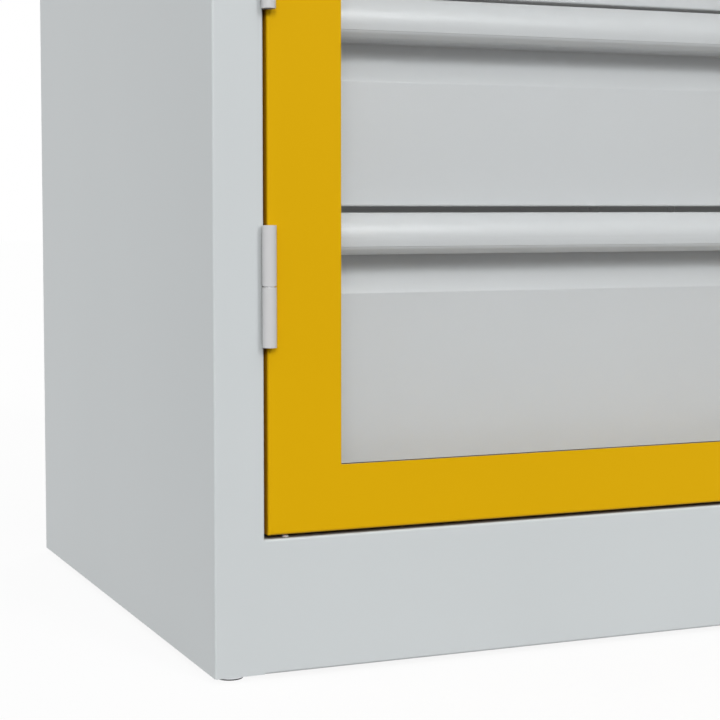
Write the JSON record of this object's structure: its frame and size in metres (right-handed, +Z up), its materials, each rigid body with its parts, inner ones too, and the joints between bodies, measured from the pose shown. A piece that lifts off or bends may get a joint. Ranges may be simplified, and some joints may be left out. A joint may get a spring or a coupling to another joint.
{
  "type": "reagent drawer cabinet",
  "caption": "Low sheet-steel laboratory cabinet on levelling feet, with steel drawers on telescopic runners behind a single hinged and glazed door.",
  "frame": {"origin": "centre of the whole footprint's box, on the floor under the levelling feet", "axes": "+Z up, the door faces -Y and is hinged on the left, at -X"},
  "size_m": [0.6, 0.529, 0.6735],
  "materials": {
    "grey_paint": "light grey powder coat, semi-matt with a fine even texture",
    "drawer_grey_paint": "light grey powder coat, semi-matt",
    "yellow_paint": "signal yellow powder coat, semi-matt",
    "hinge_grey_paint": "light grey coat over the welded hinge barrels",
    "zinc_steel": "bright zinc-plated sheet steel",
    "bare_steel": "ground and tumbled steel",
    "clear_glass": "clear safety glass with a faint green edge",
    "black_rubber": "black glazing rubber",
    "black_plastic": "black moulded plastic, satin",
    "white_nylon": "natural white nylon"
  },
  "bodies": {
    "root": {"side_left": "grey_paint", "side_right": "grey_paint", "back_panel": "grey_paint", "top_cover": "grey_paint", "plinth_front": "grey_paint", "cabinet_floor": "grey_paint", "foot_brackets": "zinc_steel", "foot_nuts": "bare_steel", "uprights_left": "grey_paint", "uprights_right": "grey_paint", "filler_left": "grey_paint", "filler_right": "grey_paint", "runner_outer_left": "zinc_steel", "runner_outer_right": "zinc_steel", "runner_screws": "bare_steel", "hinge_frame_knuckles": "hinge_grey_paint", "hinge_pins": "bare_steel", "hinge_washers": "bare_steel", "door_buffers": "white_nylon"},
    "door": {"door_panel": "yellow_paint", "door_inner_frame": "yellow_paint", "window_seal": "black_rubber", "window_pane": "clear_glass", "frame_screws": "bare_steel", "hinge_door_knuckles": "hinge_grey_paint", "lock_rosette": "black_plastic", "lock_body": "zinc_steel", "lock_nut": "bare_steel"},
    "lock": {"lock_knob": "black_plastic", "lock_cam": "zinc_steel", "lock_cam_screw": "bare_steel"},
    "foot_front_left": {"foot_front_left": "zinc_steel"},
    "foot_front_right": {"foot_front_right": "zinc_steel"},
    "foot_rear_left": {"foot_rear_left": "zinc_steel"},
    "foot_rear_right": {"foot_rear_right": "zinc_steel"},
    "drawer_1": {"drawer_1_front": "drawer_grey_paint", "drawer_1_tray": "drawer_grey_paint", "drawer_1_rails": "zinc_steel"},
    "drawer_1_middle": {"drawer_1_middle_rails": "zinc_steel"},
    "drawer_1_outer_balls": {"drawer_1_outer_cages": "bare_steel"},
    "drawer_1_inner_balls": {"drawer_1_inner_cages": "bare_steel"},
    "drawer_2": {"drawer_2_front": "drawer_grey_paint", "drawer_2_tray": "drawer_grey_paint", "drawer_2_rails": "zinc_steel"},
    "drawer_2_middle": {"drawer_2_middle_rails": "zinc_steel"},
    "drawer_2_outer_balls": {"drawer_2_outer_cages": "bare_steel"},
    "drawer_2_inner_balls": {"drawer_2_inner_cages": "bare_steel"},
    "drawer_3": {"drawer_3_front": "drawer_grey_paint", "drawer_3_tray": "drawer_grey_paint", "drawer_3_rails": "zinc_steel"},
    "drawer_3_middle": {"drawer_3_middle_rails": "zinc_steel"},
    "drawer_3_outer_balls": {"drawer_3_outer_cages": "bare_steel"},
    "drawer_3_inner_balls": {"drawer_3_inner_cages": "bare_steel"}
  },
  "joints": [
    {"name": "door_hinge", "type": "hinge", "parent": "root", "child": "door", "pos_m": [-0.26295, -0.2406, 0.3705], "axis": [0, 0, -1], "range_deg": [0, 180]},
    {"name": "lock_turn", "type": "hinge", "parent": "door", "child": "lock", "pos_m": [0.23625, -0.2355, 0.374], "axis": [0, -1, 0], "range_deg": [0, 90]},
    {"name": "foot_front_left_thread", "type": "slide", "parent": "root", "child": "foot_front_left", "axis": [0, 0, -1], "range_m": [0, 0.012]},
    {"name": "foot_front_right_thread", "type": "slide", "parent": "root", "child": "foot_front_right", "axis": [0, 0, -1], "range_m": [0, 0.012]},
    {"name": "foot_rear_left_thread", "type": "slide", "parent": "root", "child": "foot_rear_left", "axis": [0, 0, -1], "range_m": [0, 0.012]},
    {"name": "foot_rear_right_thread", "type": "slide", "parent": "root", "child": "foot_rear_right", "axis": [0, 0, -1], "range_m": [0, 0.012]},
    {"name": "drawer_1_slide", "type": "slide", "parent": "root", "child": "drawer_1", "axis": [0, -1, 0], "range_m": [0, 0.36]},
    {"name": "drawer_1_middle_slide", "type": "slide", "parent": "root", "child": "drawer_1_middle", "axis": [0, -1, 0], "range_m": [0, 0.18]},
    {"name": "drawer_1_outer_balls_slide", "type": "slide", "parent": "root", "child": "drawer_1_outer_balls", "axis": [0, -1, 0], "range_m": [0, 0.09]},
    {"name": "drawer_1_inner_balls_slide", "type": "slide", "parent": "root", "child": "drawer_1_inner_balls", "axis": [0, -1, 0], "range_m": [0, 0.27]},
    {"name": "drawer_2_slide", "type": "slide", "parent": "root", "child": "drawer_2", "axis": [0, -1, 0], "range_m": [0, 0.36]},
    {"name": "drawer_2_middle_slide", "type": "slide", "parent": "root", "child": "drawer_2_middle", "axis": [0, -1, 0], "range_m": [0, 0.18]},
    {"name": "drawer_2_outer_balls_slide", "type": "slide", "parent": "root", "child": "drawer_2_outer_balls", "axis": [0, -1, 0], "range_m": [0, 0.09]},
    {"name": "drawer_2_inner_balls_slide", "type": "slide", "parent": "root", "child": "drawer_2_inner_balls", "axis": [0, -1, 0], "range_m": [0, 0.27]},
    {"name": "drawer_3_slide", "type": "slide", "parent": "root", "child": "drawer_3", "axis": [0, -1, 0], "range_m": [0, 0.36]},
    {"name": "drawer_3_middle_slide", "type": "slide", "parent": "root", "child": "drawer_3_middle", "axis": [0, -1, 0], "range_m": [0, 0.18]},
    {"name": "drawer_3_outer_balls_slide", "type": "slide", "parent": "root", "child": "drawer_3_outer_balls", "axis": [0, -1, 0], "range_m": [0, 0.09]},
    {"name": "drawer_3_inner_balls_slide", "type": "slide", "parent": "root", "child": "drawer_3_inner_balls", "axis": [0, -1, 0], "range_m": [0, 0.27]}
  ],
  "couplings": [
    {"joint": "drawer_1_slide", "follows": "door_hinge", "m_per_rad": 0.066},
    {"joint": "drawer_1_middle_slide", "follows": "door_hinge", "m_per_rad": 0.033},
    {"joint": "drawer_1_outer_balls_slide", "follows": "door_hinge", "m_per_rad": 0.0165},
    {"joint": "drawer_1_inner_balls_slide", "follows": "door_hinge", "m_per_rad": 0.0495},
    {"joint": "drawer_2_slide", "follows": "door_hinge", "m_per_rad": 0.066},
    {"joint": "drawer_2_middle_slide", "follows": "door_hinge", "m_per_rad": 0.033},
    {"joint": "drawer_2_outer_balls_slide", "follows": "door_hinge", "m_per_rad": 0.0165},
    {"joint": "drawer_2_inner_balls_slide", "follows": "door_hinge", "m_per_rad": 0.0495},
    {"joint": "drawer_3_slide", "follows": "door_hinge", "m_per_rad": 0.066},
    {"joint": "drawer_3_middle_slide", "follows": "door_hinge", "m_per_rad": 0.033},
    {"joint": "drawer_3_outer_balls_slide", "follows": "door_hinge", "m_per_rad": 0.0165},
    {"joint": "drawer_3_inner_balls_slide", "follows": "door_hinge", "m_per_rad": 0.0495}
  ]
}
